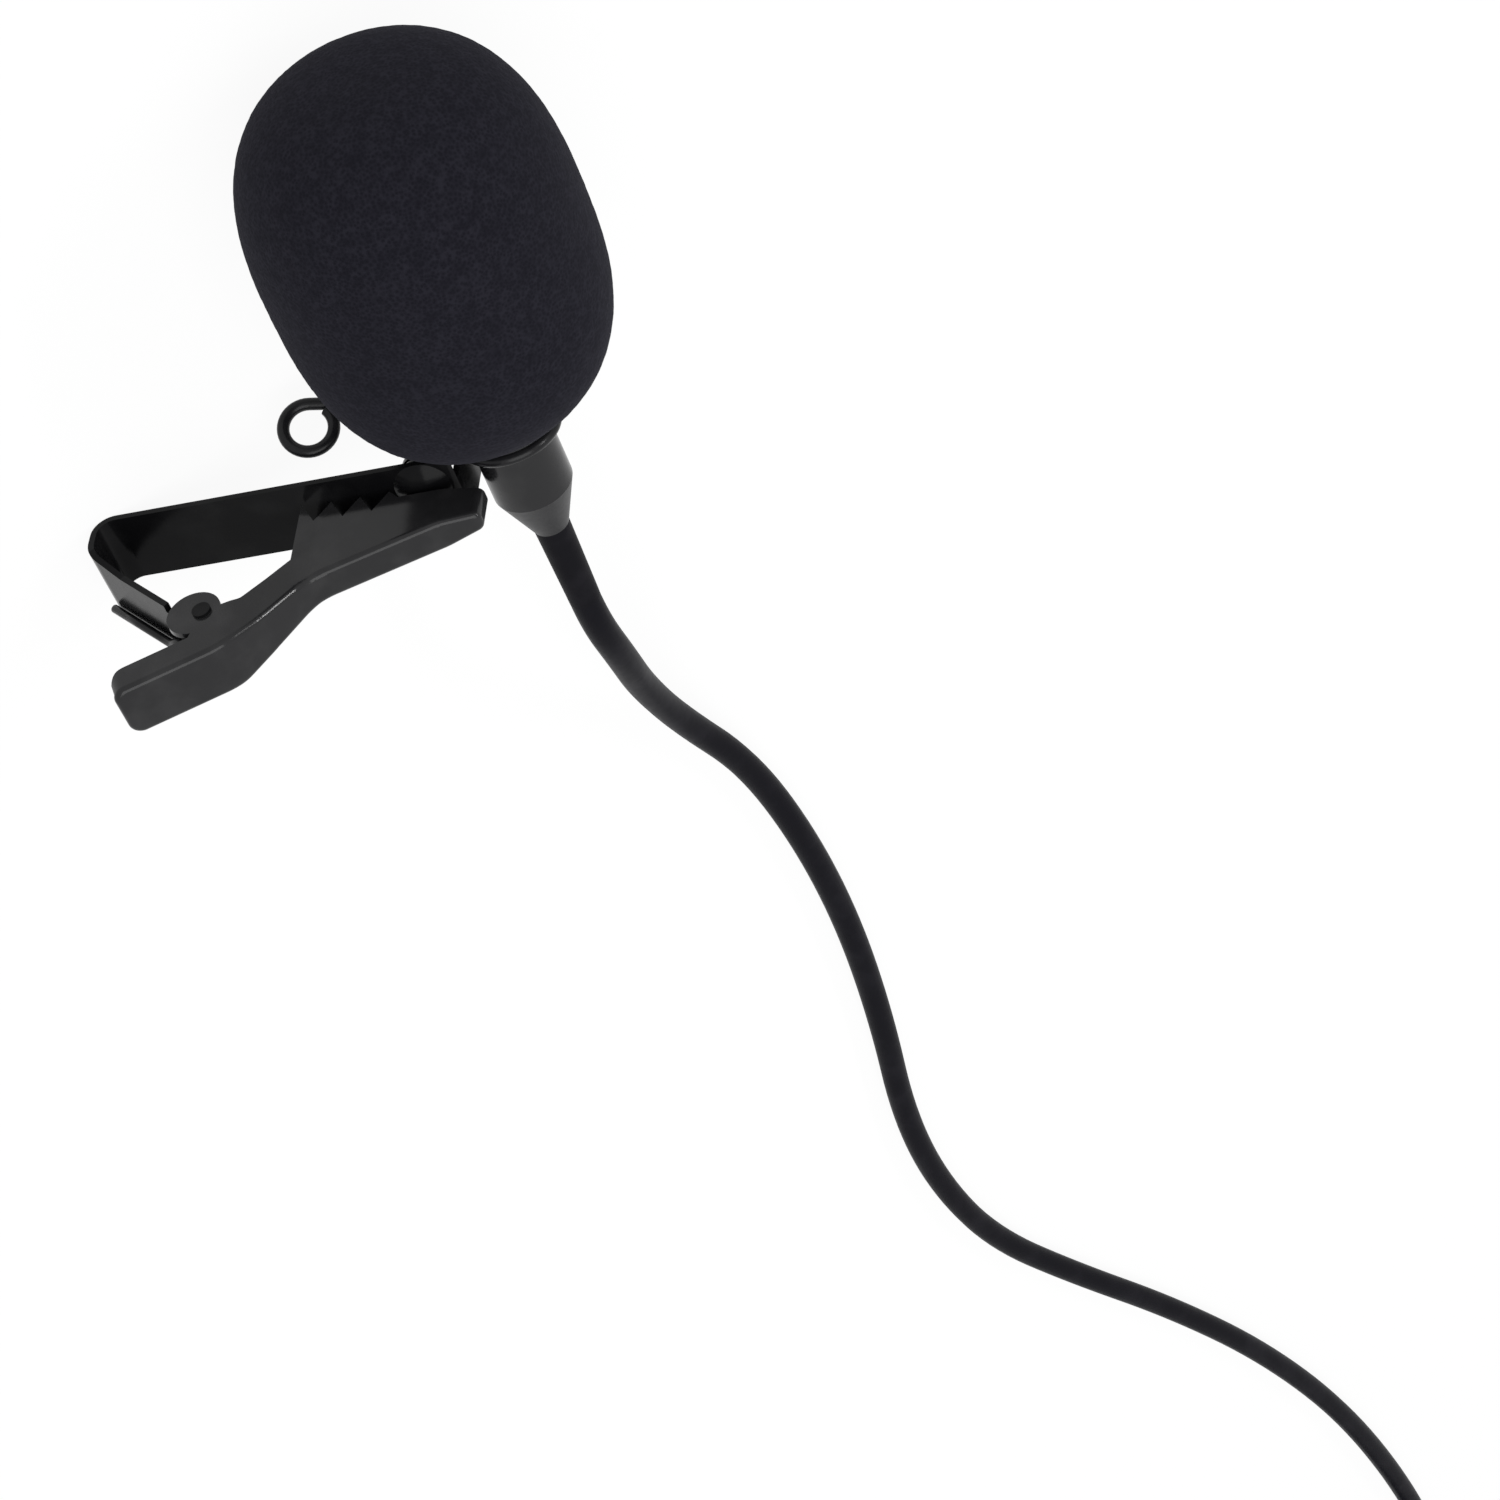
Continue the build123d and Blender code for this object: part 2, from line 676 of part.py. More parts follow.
def arc_on(plane, radius, start, size):
    """Arc about the plane's origin, from the start angle over size degrees."""
    points = []
    for angle in (start, start + size / 2, start + size):
        points.append(plane.from_local_coords((radius * cos(radians(angle)), radius * sin(radians(angle)))))
    ThreePointArc(*points)


with BuildPart() as holder_wire:
    with BuildLine() as wire_path:
        # the anchor loop ends level with the first turn, heading for the head
        arc_on(anchor_plane, anchor_r, -90 + loop_arc, -loop_arc)
        here = clip_point(rivet_reach, turn_r, first_turn_y)
        top = clip_point(0, turn_r, first_turn_y)
        Line(here, top)
        side = 1
        for half in range(wire_half_turns):
            step_y = first_turn_y + (half + 1) * wire_turn_pitch / 2
            foot = clip_point(0, -side * turn_r, step_y)
            biarc(top, foot, ALONG * -side)
            top = foot
            side = -side
        entry = radians(eye_entry)
        eye_foot = eye_plane.from_local_coords((-eye_r * sin(entry), -eye_r * cos(entry)))
        FilletPolyline(
            top,
            top + ALONG * leg_exit,
            eye_foot - leg_heading * leg_entry,
            eye_foot,
            radius=leg_bend_r,
        )
        arc_on(eye_plane, eye_r, -90 - eye_entry, loop_arc)
    with BuildSketch(Plane(origin=wire_path.wire() @ 0, z_dir=wire_path.wire() % 0)):
        Circle(wire_r)
    sweep()
save(holder_wire, "holder_wire")

# ================================================================ cable, lead
# The route's points: across from the head's axis, back from its rim, and height over the lying cable.
lying_z = cable_r + table_gap
exit_run = 3.0
route = [
    (0, cable_end_y, axis_z - lying_z),
    (0, cable_end_y + exit_run, axis_z - lying_z),
    (-1.0, 22.0, 9.4),
    (-2.2, 30.0, 5.2),
    (-4.6, 39.0, 1.5),
    (-8.8, 49.0, 0.1),
    (-10.9, 61.0, 0),
    (-11.6, 74.0, 0),
    (-10.9, 88.0, 0),
    (-9.2, 102.0, 0),
    (-9.8, 114.0, 0),
    (-12.8, 126.0, 0),
    (-19.3, 138.0, 0),
    (-27.8, 152.0, 0),
    (-35.9, 168.0, 0),
    (-42.4, 186.0, 0),
    (-46.6, 206.0, 0),
    (-48.2, 224.0, 0),
    (-48.2, 238.0, 0),
]
lead_points = [Vector(axis_x + x, rim_y + y, lying_z + rise) for x, y, rise in route]


def cable_tube(points):
    """Path of straight runs and arcs through the points, for a cable's tube."""
    radii = turn_radii(points)
    print("cable radii", [round(r, 1) for r in radii])
    return FilletPolyline(*points, radius=radii)


with BuildPart() as cable_lead:
    with BuildLine() as lead_path:
        cable_tube(lead_points)
    with BuildSketch(Plane(origin=lead_path.wire() @ 0, z_dir=lead_path.wire() % 0)):
        Circle(cable_r)
    sweep()
save(cable_lead, "cable_lead")

# ================================================================ cable, put-away coil
coil_entry = lead_points[-1] + BACK * coil_end
coil_middle = coil_entry + RIGHT * coil_r


def coil_stations():
    """Points on the line through the coil's middle that the cable crosses, in order."""
    stations = [coil_entry]
    side = 1
    radius = coil_r
    for layer in range(coil_layers):
        inward = -1 if layer % 2 == 0 else 1
        for half in range(coil_half_turns):
            radius += inward * coil_pitch / 2
            stations.append(coil_middle + RIGHT * side * radius + UP * layer * coil_rise)
            side = -side
        if layer < coil_layers - 1:
            stations.append(coil_middle + RIGHT * side * radius + UP * (layer + 1) * coil_rise)
            side = -side
    return stations


stations = coil_stations()
heading = BACK
with BuildPart() as cable_coil:
    with BuildLine() as coil_path:
        Line(coil_entry - heading * coil_end, coil_entry)
        for start, end in zip(stations, stations[1:]):
            biarc(start, end, heading)
            heading = -heading
        coil_exit = stations[-1] + heading * coil_end
        Line(stations[-1], coil_exit)
    with BuildSketch(Plane(origin=coil_path.wire() @ 0, z_dir=coil_path.wire() % 0)):
        Circle(cable_r)
    sweep()
save(cable_coil, "cable_coil")

samples = ceil(coil_path.wire().length / sample_step)
spots = [coil_path.wire() @ (i / samples) for i in range(samples + 1)]
apart = ceil(3 * cable_d / sample_step)
least = min((a - b).length for i, a in enumerate(spots) for b in spots[i + apart :])
print("coil: least gap to itself", round(least - cable_d, 2), "length", round(coil_path.wire().length, 1))

# ================================================================ cable, tail to the plug
plug_height = plug_barrel_r + table_gap
# Across and back from the coil's exit, and height over the lying plug's axis.
tail_route = [
    (0, 0, coil_exit.Z - plug_height),
    (0, -8.0, coil_exit.Z - plug_height),
    (2.5, -17.5, 4.1),
    (10.5, -26.0, 0.9),
    (22.0, -29.5, 0),
    (32.0, -29.5, 0),
]
tail_points = [Vector(coil_exit.X + x, coil_exit.Y + y, plug_height + rise) for x, y, rise in tail_route]
with BuildPart() as cable_tail:
    with BuildLine() as tail_path:
        cable_tube(tail_points)
    with BuildSketch(Plane(origin=tail_path.wire() @ 0, z_dir=tail_path.wire() % 0)):
        Circle(cable_r)
    sweep()
save(cable_tail, "cable_tail")

for builder, path in ((cable_lead, lead_path), (cable_coil, coil_path), (cable_tail, tail_path)):
    plain = pi * cable_r**2 * path.wire().length
    print("volume over section times length", round(builder.part.volume / plain, 4))
lengths = [cable_end_y - inner_start] + [p.wire().length for p in (lead_path, coil_path, tail_path)]
print("cable length", round(sum(lengths), 1), [round(x, 1) for x in lengths])

# ================================================================ plug
plug_start = tail_points[-1]


def plug_plane(x):
    """Plane square to the plug, this far along it from the cable's end."""
    return Plane(origin=plug_start + RIGHT * x, x_dir=BACK, z_dir=RIGHT)


barrel_x = plug_relief_length
shoulder_x = barrel_x + plug_barrel_length
with BuildPart() as plug_strain_relief:
    with BuildSketch(plug_plane(0)):
        Circle(plug_relief_end_r)
    with BuildSketch(plug_plane(barrel_x)):
        Circle(plug_relief_root_r)
    loft()
    for groove in range(plug_groove_count):
        groove_x = plug_relief_length * (groove + 1) / (plug_groove_count + 1)
        groove_wide = plug_relief_length / (2 * plug_groove_count + 2)
        with BuildSketch(plug_plane(groove_x - groove_wide / 2)):
            Circle(plug_barrel_r)
            Circle(plug_groove_r, mode=Mode.SUBTRACT)
        extrude(amount=groove_wide, mode=Mode.SUBTRACT)
save(plug_strain_relief, "plug_strain_relief")

with BuildPart() as plug_barrel:
    with BuildSketch(plug_plane(barrel_x)):
        Circle(plug_barrel_r)
    extrude(amount=plug_barrel_length)
    chamfer(plug_barrel.edges().filter_by(GeomType.CIRCLE), length=plug_chamfer)
    with BuildSketch(plug_plane(shoulder_x - jack_seat)):
        Circle(jack_stem_r)
    extrude(amount=jack_seat, mode=Mode.SUBTRACT)
save(plug_barrel, "plug_barrel")

with BuildPart() as plug_sleeve:
    with BuildSketch(plug_plane(shoulder_x - jack_seat)):
        Circle(jack_stem_r)
    extrude(amount=jack_seat)
    with BuildSketch(plug_plane(shoulder_x)):
        Circle(jack_r)
    extrude(amount=jack_sleeve_length)
save(plug_sleeve, "plug_sleeve")

rear_x = shoulder_x + jack_sleeve_length
ring_x = rear_x + jack_insulator_length
front_x = ring_x + jack_ring_length
tip_x = front_x + jack_insulator_length
with BuildPart() as plug_ring:
    with BuildSketch(plug_plane(ring_x)):
        Circle(jack_r)
    extrude(amount=jack_ring_length)
save(plug_ring, "plug_ring")

for label, x in (("plug_insulator_rear", rear_x), ("plug_insulator_front", front_x)):
    with BuildPart() as plug_insulator:
        with BuildSketch(plug_plane(x)):
            Circle(jack_r)
        extrude(amount=jack_insulator_length)
    save(plug_insulator, label)

with BuildPart() as plug_tip:
    with BuildSketch(Plane(origin=plug_start + RIGHT * tip_x, x_dir=RIGHT, z_dir=(0, -1, 0))):
        with BuildLine():
            Polyline(
                (0, 0),
                (0, jack_tip_neck_r),
                (jack_tip_neck, jack_tip_neck_r),
                (jack_tip_neck + jack_tip_slope, jack_tip_crown_r),
                (jack_tip_neck + jack_tip_slope + jack_tip_crown, jack_tip_crown_r),
                (jack_tip_length, jack_tip_nose_r),
                (jack_tip_length, 0),
                close=True,
            )
        make_face()
    revolve(axis=Axis(plug_start, RIGHT))
save(plug_tip, "plug_tip")
print("tilt", round(tilt, 2), "axis height", axis_z, "pin", clip_point(pin_u, pin_v, clip_y))
print("plug shoulder", plug_plane(shoulder_x).origin)
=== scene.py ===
from math import cos, pi, radians, sin

import bpy
import numpy as np
from mathutils import Matrix, Vector


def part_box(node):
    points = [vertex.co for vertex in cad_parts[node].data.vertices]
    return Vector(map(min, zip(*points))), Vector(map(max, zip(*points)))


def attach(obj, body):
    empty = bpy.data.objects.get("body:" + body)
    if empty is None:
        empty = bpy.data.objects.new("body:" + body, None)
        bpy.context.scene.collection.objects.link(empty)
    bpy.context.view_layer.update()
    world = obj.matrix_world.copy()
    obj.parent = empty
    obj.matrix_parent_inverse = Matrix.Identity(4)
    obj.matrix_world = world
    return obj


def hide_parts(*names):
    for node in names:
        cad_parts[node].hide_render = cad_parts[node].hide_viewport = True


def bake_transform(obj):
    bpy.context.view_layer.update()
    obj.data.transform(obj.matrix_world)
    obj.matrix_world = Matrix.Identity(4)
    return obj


# %% [markdown]
# A clip-on microphone lies on a pale table.  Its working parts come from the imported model, already at
# their real size and place, so this lesson only dresses them: it lights them, gives each a finish, and
# makes the three things that a solid model leaves plain or stiff: the limp cable, the closing spring
# and the foam windscreen.

# %% The frame
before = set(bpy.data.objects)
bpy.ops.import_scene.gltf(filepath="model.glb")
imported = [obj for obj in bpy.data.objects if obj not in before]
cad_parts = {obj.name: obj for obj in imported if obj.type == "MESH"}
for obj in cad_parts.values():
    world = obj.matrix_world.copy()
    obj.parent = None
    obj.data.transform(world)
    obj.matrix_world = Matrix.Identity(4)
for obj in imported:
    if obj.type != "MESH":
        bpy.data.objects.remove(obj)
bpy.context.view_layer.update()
MM = 0.001

# %% [markdown]
# Every place below is measured from the head: its axis runs along Y, and its rear rim faces the cable.
# Both are read from the housing's own box, so nothing has to be typed twice.

# %% Where the head is
housing_low, housing_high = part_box("mic_housing")
head_x = (housing_low[0] + housing_high[0]) / 2
head_z = (housing_low[2] + housing_high[2]) / 2
rim_y = housing_high[1]
foam_low, foam_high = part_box("windscreen")
print("head's axis and rim, mm", round(head_x / MM, 2), round(head_z / MM, 2), round(rim_y / MM, 2))

# %% [markdown]
# The camera is a long lens that looks down at the table from the front, turned far over to one side.
# A lens's direction is easiest to think of as three numbers: how far round it stands, how high, and
# how much it is rolled.  From these come the camera's own right, up and backward axes.

# %% Camera
CAMERA_FROM_RIM = Vector((34.57, -198.67, 243.45)) * MM
CAMERA_ROUND = radians(10.12)
CAMERA_HIGH = radians(45.45)
CAMERA_ROLL = radians(-142.74)
LENS_MM = 96.0
SENSOR_MM = 36.0
NEAREST_SEEN = 10 * MM


def aim_camera(place, round_by, high, roll):
    """Camera whose view runs along (-sin round cos high, cos round cos high, -sin high), then rolled."""
    ahead = Vector((-sin(round_by) * cos(high), cos(round_by) * cos(high), -sin(high)))
    level = ahead.cross(Vector((0, 0, 1))).normalized()
    upright = level.cross(ahead)
    up = upright * cos(roll) + level * sin(roll)
    right = ahead.cross(up)
    turn = Matrix((right, up, -ahead)).transposed()
    data = bpy.data.cameras.new("camera")
    data.lens = LENS_MM
    data.sensor_width = SENSOR_MM
    data.clip_start = NEAREST_SEEN
    camera = bpy.data.objects.new("camera", data)
    camera.matrix_world = Matrix.Translation(place) @ turn.to_4x4()
    bpy.context.scene.collection.objects.link(camera)
    bpy.context.scene.camera = camera


head = Vector((head_x, rim_y, head_z))
aim_camera(head + CAMERA_FROM_RIM, CAMERA_ROUND, CAMERA_HIGH, CAMERA_ROLL)
print("camera to head, mm", round(CAMERA_FROM_RIM.length / MM))

# %% [markdown]
# The surroundings are a white table under an even white sky.  A camera that looks at the sky should
# see plain white, but the light that reaches the object should stay gentle, so the sky's shader asks
# what kind of ray has found it: looking and mirrored rays get white, all other rays get less.

# %% Sky
SKY_LIGHT = 0.50
SEEN_SKY = 1.0
WHITE = (1, 1, 1, 1)


def white_for_seen_rays(tree):
    """Number that is 1 for camera rays, mirrored rays and rays through glass, and 0 for others."""
    path = tree.nodes.new("ShaderNodeLightPath")
    seen = tree.nodes.new("ShaderNodeMath")
    seen.operation = "MAXIMUM"
    tree.links.new(path.outputs["Is Camera Ray"], seen.inputs[0])
    tree.links.new(path.outputs["Is Glossy Ray"], seen.inputs[1])
    all_seen = tree.nodes.new("ShaderNodeMath")
    all_seen.operation = "MAXIMUM"
    tree.links.new(seen.outputs[0], all_seen.inputs[0])
    tree.links.new(path.outputs["Is Transmission Ray"], all_seen.inputs[1])
    return all_seen.outputs[0]


world = bpy.data.worlds.new("sky")
bpy.context.scene.world = world
world.use_nodes = True
sky_tree = world.node_tree
sky_strength = sky_tree.nodes.new("ShaderNodeMapRange")
sky_strength.inputs["To Min"].default_value = SKY_LIGHT
sky_strength.inputs["To Max"].default_value = SEEN_SKY
sky_tree.links.new(white_for_seen_rays(sky_tree), sky_strength.inputs["Value"])
sky_shade = sky_tree.nodes["Background"]
sky_shade.inputs["Color"].default_value = WHITE
sky_tree.links.new(sky_strength.outputs[0], sky_shade.inputs["Strength"])
bpy.context.scene.view_settings.view_transform = "Standard"
print("sky seen and sky as light", SEEN_SKY, SKY_LIGHT)

# %% [markdown]
# The table is one big sheet a hair below the object.  It mixes a plain matt white, which catches the
# soft shadow, with a share of its own white glow.  Only looking and mirrored rays find the glow, so it
# keeps the ground pale without lighting the object.

# %% Table
TABLE_SIDE = 3.0
TABLE_DROP = 0.1 * MM
TABLE_WHITE = 0.94
TABLE_GLOW = 0.93


def make_table():
    """Flat square, TABLE_SIDE on each side, TABLE_DROP under the object."""
    half = TABLE_SIDE / 2
    corners = [(x * half, y * half, -TABLE_DROP) for x, y in ((-1, -1), (1, -1), (1, 1), (-1, 1))]
    mesh = bpy.data.meshes.new("table")
    mesh.from_pydata(corners, [], [(0, 1, 2, 3)])
    table = bpy.data.objects.new("table", mesh)
    bpy.context.scene.collection.objects.link(table)
    finish = bpy.data.materials.new("table white")
    finish.use_nodes = True
    tree = finish.node_tree
    tree.nodes.remove(tree.nodes["Principled BSDF"])
    matt = tree.nodes.new("ShaderNodeBsdfDiffuse")
    matt.inputs["Color"].default_value = (TABLE_WHITE, TABLE_WHITE, TABLE_WHITE, 1)
    glow = tree.nodes.new("ShaderNodeEmission")
    glow.inputs["Color"].default_value = WHITE
    share = tree.nodes.new("ShaderNodeMath")
    share.operation = "MULTIPLY"
    share.inputs[1].default_value = TABLE_GLOW
    tree.links.new(white_for_seen_rays(tree), share.inputs[0])
    mix = tree.nodes.new("ShaderNodeMixShader")
    tree.links.new(share.outputs[0], mix.inputs[0])
    tree.links.new(matt.outputs[0], mix.inputs[1])
    tree.links.new(glow.outputs[0], mix.inputs[2])
    tree.links.new(mix.outputs[0], tree.nodes["Material Output"].inputs["Surface"])
    mesh.materials.append(finish)


make_table()
print("share of glow in the table's white", TABLE_GLOW)

# %% [markdown]
# A wide lamp overhead gives the soft top light of a photographer's tent.  A narrow strip at the front
# left is mirrored by folds and round parts as a thin line, but only where they run square to the strip.

# %% Lamps
OVERHEAD_AT = Vector((0.12, -0.04, 0.80))
STRIP_FROM_HEAD = Vector((-0.526, -0.225, 0.518))
STRIP_ALONG = Vector((0.04, -0.86, -0.33))


def add_lamp(name, place, along, long_side, short_side, watts):
    """Area lamp at place that faces the head, its long side as near the direction along as can be."""
    data = bpy.data.lights.new(name, "AREA")
    data.shape = "RECTANGLE"
    data.size = long_side
    data.size_y = short_side
    data.energy = watts
    lamp = bpy.data.objects.new(name, data)
    back = (place - head).normalized()
    across = (along - back * back.dot(along)).normalized()
    turn = Matrix((across, back.cross(across), back)).transposed()
    lamp.matrix_world = Matrix.Translation(place) @ turn.to_4x4()
    bpy.context.scene.collection.objects.link(lamp)


add_lamp("overhead", OVERHEAD_AT, Vector((1, 0, 0)), long_side=0.7, short_side=0.7, watts=4.5)
add_lamp("strip", head + STRIP_FROM_HEAD, STRIP_ALONG, long_side=0.36, short_side=0.03, watts=1.4)
print("lamps", [lamp.name for lamp in bpy.data.lights])

# %% [markdown]
# The cable is limp, 2.4 mm thick and about a metre and a half long.  The stretch in view leaves the
# sleeve level, sinks to the table under its own weight and wanders away over it.  The points are those
# of the solid model's own route.  The moulded sleeve thins out into the cable, so the first points also
# carry a little extra thickness, and the cable rests that much higher there.

# %% Cable: the route in view
CABLE_D = 2.4 * MM
CABLE_R = CABLE_D / 2
TABLE_GAP = 0.02 * MM
RESTS_AT = CABLE_R + TABLE_GAP
ROUTE = [
    (0, 13.0, (head_z - RESTS_AT) / MM),
    (0, 16.0, (head_z - RESTS_AT) / MM),
    (-1.0, 22.0, 9.4),
    (-2.2, 30.0, 5.2),
    (-4.6, 39.0, 1.5),
    (-8.8, 49.0, 0.1),
    (-10.9, 61.0, 0),
    (-11.6, 74.0, 0),
    (-10.9, 88.0, 0),
    (-9.2, 102.0, 0),
    (-9.8, 114.0, 0),
    (-12.8, 126.0, 0),
    (-19.3, 138.0, 0),
    (-27.8, 152.0, 0),
    (-35.9, 168.0, 0),
    (-42.4, 186.0, 0),
    (-46.6, 206.0, 0),
    (-48.2, 224.0, 0),
    (-48.2, 238.0, 0),
]
SWELL = [0.12, 0.12, 0.12, 0.12, 0.11, 0.11, 0.10, 0.09, 0.07, 0.05, 0.03, 0.01]
SWELL += [0] * (len(ROUTE) - len(SWELL))
route = [
    Vector((head_x + x * MM, rim_y + y * MM, RESTS_AT + max(rise, swell) * MM))
    for (x, y, rise), swell in zip(ROUTE, SWELL)
]
print("points on the route in view", len(route))

# %% [markdown]
# The rest of the cable is put away in a round coil of four layers.  Going round, each half turn is a
# half circle a little smaller or larger than the last, so the layer winds in and the next winds out,
# and where the winding turns back the cable climbs onto the layer below.

# %% Cable: the coil
COIL_R = 18.6 * MM
COIL_PITCH = 3.5 * MM
COIL_RISE = 3.0 * MM
COIL_LAYERS = 4
HALF_TURNS = 7
POINTS_A_HALF_TURN = 8
coil_entry = route[-1] + Vector((0, CABLE_D, 0))
coil_x = coil_entry.x + COIL_R


def coil_points():
    """Half circles between crossings of the line through the coil's middle, drawn as control points.

    Control points of a round spline stand outside its line by one over the cosine of half a step.
    """
    crossings = [(-COIL_R, 0)]
    side = 1
    radius = COIL_R
    for layer in range(COIL_LAYERS):
        step = -COIL_PITCH / 2 if layer % 2 == 0 else COIL_PITCH / 2
        for _ in range(HALF_TURNS):
            radius += step
            crossings.append((side * radius, layer))
            side = -side
        if layer < COIL_LAYERS - 1:
            crossings.append((side * radius, layer + 1))
            side = -side
    outside = 1 / cos(pi / POINTS_A_HALF_TURN / 2)
    points = []
    for (x0, layer0), (x1, layer1) in zip(crossings, crossings[1:]):
        middle = (x0 + x1) / 2
        reach = abs(x1 - x0) / 2
        start = pi if x0 < x1 else 0
        for k in range(POINTS_A_HALF_TURN):
            share = (k + 0.5) / POINTS_A_HALF_TURN
            angle = start - pi * share
            x = coil_x + middle + reach * outside * cos(angle)
            y = coil_entry.y + reach * outside * sin(angle)
            z = coil_entry.z + (layer0 + (layer1 - layer0) * share) * COIL_RISE
            points.append(Vector((x, y, z)))
    last_x, last_layer = crossings[-1]
    points.append(Vector((coil_x + last_x, coil_entry.y, coil_entry.z + last_layer * COIL_RISE)))
    return points


coil = coil_points()
print("points in the coil", len(coil))

# %% [markdown]
# From the top of the coil a short tail sinks towards the table and meets the plug, which lies beside
# the coil.  One spline then carries the whole cable.  A NURBS spline of order 3 is drawn towards its
# points without touching them, which gives the even, springy bends of a real lead.

# %% Cable: the tail and the whole spline
plug_low, plug_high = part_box("plug_strain_relief")
plug_start = Vector((plug_low[0], (plug_low[1] + plug_high[1]) / 2, (plug_low[2] + plug_high[2]) / 2))
coil_exit = coil[-1] - Vector((0, CABLE_D, 0))
TAIL = [
    (0, -8.0, (coil_exit.z - plug_start.z) / MM),
    (2.5, -17.5, 4.1),
    (10.5, -26.0, 0.9),
    (22.0, -29.5, 0),
]
tail = [
    Vector((coil_exit.x + x * MM, coil_exit.y + y * MM, plug_start.z + rise * MM))
    for x, y, rise in TAIL
]
RING_STEPS = 5
SPAN_STEPS = 8


def make_cable(points, swell):
    """Round tube along one NURBS spline of order 3; each point's radius is CABLE_R plus its swell.

    The bevel's own radius is 1, so that the points' radii are the real thickness, in metres.
    """
    curve = bpy.data.curves.new("cable", "CURVE")
    curve.dimensions = "3D"
    curve.bevel_depth = 1.0
    curve.bevel_resolution = RING_STEPS
    curve.resolution_u = SPAN_STEPS
    curve.use_fill_caps = True
    spline = curve.splines.new("NURBS")
    spline.points.add(len(points) - 1)
    spline.points.foreach_set("co", np.array([(*p, 1.0) for p in points]).ravel())
    radius = np.full(len(points), CABLE_R)
    radius[: len(swell)] += np.array(swell) * MM
    spline.points.foreach_set("radius", radius)
    spline.order_u = 3
    spline.use_endpoint_u = True
    cable = bpy.data.objects.new("cable", curve)
    bpy.context.scene.collection.objects.link(cable)
    return cable


cable_points = route + [coil_entry] + coil + [coil_exit] + tail + [plug_start]
cable = make_cable(cable_points, SWELL)
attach(cable, "head")
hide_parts("cable_lead", "cable_coil", "cable_tail")
print("points on the whole cable", len(cable_points))

# %% [markdown]
# Most finishes share two effects, so each is a node group that is built once.  The first is grain:
# a fine noise that roughens the surface and its gloss a little, as on any moulded or painted part.

# %% Shared effect: grain


def group_with(name, inputs, outputs):
    """Empty node group with these named sockets: (name, socket type, default)."""
    group = bpy.data.node_groups.new(name, "ShaderNodeTree")
    for label, kind, default in inputs:
        socket = group.interface.new_socket(label, in_out="INPUT", socket_type=kind)
        socket.default_value = default
    for label, kind in outputs:
        group.interface.new_socket(label, in_out="OUTPUT", socket_type=kind)
    inside = group.nodes.new("NodeGroupInput")
    outside = group.nodes.new("NodeGroupOutput")
    return group, inside, outside


def make_grain():
    """Noise of a given scale around the middle, as a height and as a roughness that varies with it."""
    group, inside, outside = group_with(
        "grain",
        [
            ("Scale", "NodeSocketFloat", 2000.0),
            ("Roughness", "NodeSocketFloat", 0.4),
            ("Variation", "NodeSocketFloat", 0.1),
        ],
        [("Height", "NodeSocketFloat"), ("Roughness", "NodeSocketFloat")],
    )
    where = group.nodes.new("ShaderNodeTexCoord")
    noise = group.nodes.new("ShaderNodeTexNoise")
    noise.inputs["Detail"].default_value = 4.0
    group.links.new(where.outputs["Object"], noise.inputs["Vector"])
    group.links.new(inside.outputs["Scale"], noise.inputs["Scale"])
    centred = group.nodes.new("ShaderNodeMath")
    centred.operation = "SUBTRACT"
    centred.inputs[1].default_value = 0.5
    group.links.new(noise.outputs["Fac"], centred.inputs[0])
    spread = group.nodes.new("ShaderNodeMath")
    spread.operation = "MULTIPLY_ADD"
    group.links.new(centred.outputs[0], spread.inputs[0])
    group.links.new(inside.outputs["Variation"], spread.inputs[1])
    group.links.new(inside.outputs["Roughness"], spread.inputs[2])
    group.links.new(noise.outputs["Fac"], outside.inputs["Height"])
    group.links.new(spread.outputs[0], outside.inputs["Roughness"])
    return group


grain = make_grain()
print("sockets of grain", [socket.name for socket in grain.interface.items_tree])

# %% [markdown]
# The second effect is handling: faint smears and dust that make a black part slightly greyer in
# places.  It is a slow noise between two colours.

# %% Shared effect: handling
CLEAN_BELOW = 0.42
DUSTY_ABOVE = 0.72


def make_handling():
    """Blend from the clean colour to the dusty one by a slow noise, raised above a threshold."""
    group, inside, outside = group_with(
        "handling",
        [
            ("Clean", "NodeSocketColor", (0.02, 0.02, 0.02, 1)),
            ("Dusty", "NodeSocketColor", (0.05, 0.05, 0.05, 1)),
            ("Scale", "NodeSocketFloat", 300.0),
        ],
        [("Color", "NodeSocketColor")],
    )
    where = group.nodes.new("ShaderNodeTexCoord")
    noise = group.nodes.new("ShaderNodeTexNoise")
    noise.inputs["Detail"].default_value = 5.0
    group.links.new(where.outputs["Object"], noise.inputs["Vector"])
    group.links.new(inside.outputs["Scale"], noise.inputs["Scale"])
    ramp = group.nodes.new("ShaderNodeMapRange")
    ramp.interpolation_type = "SMOOTHSTEP"
    ramp.inputs["From Min"].default_value = CLEAN_BELOW
    ramp.inputs["From Max"].default_value = DUSTY_ABOVE
    group.links.new(noise.outputs["Fac"], ramp.inputs["Value"])
    mix = group.nodes.new("ShaderNodeMix")
    mix.data_type = "RGBA"
    group.links.new(ramp.outputs[0], mix.inputs["Factor"])
    group.links.new(inside.outputs["Clean"], mix.inputs["A"])
    group.links.new(inside.outputs["Dusty"], mix.inputs["B"])
    group.links.new(mix.outputs["Result"], outside.inputs["Color"])
    return group


handling = make_handling()
print("node groups", [group.name for group in bpy.data.node_groups])

# %% [markdown]
# One helper then makes each hard finish from those two effects: its colours, how rough it is, and how
# deep its grain stands, in millimetres.  The numbers that are the same all over a part go straight to
# the shader.

# %% Helper for hard finishes


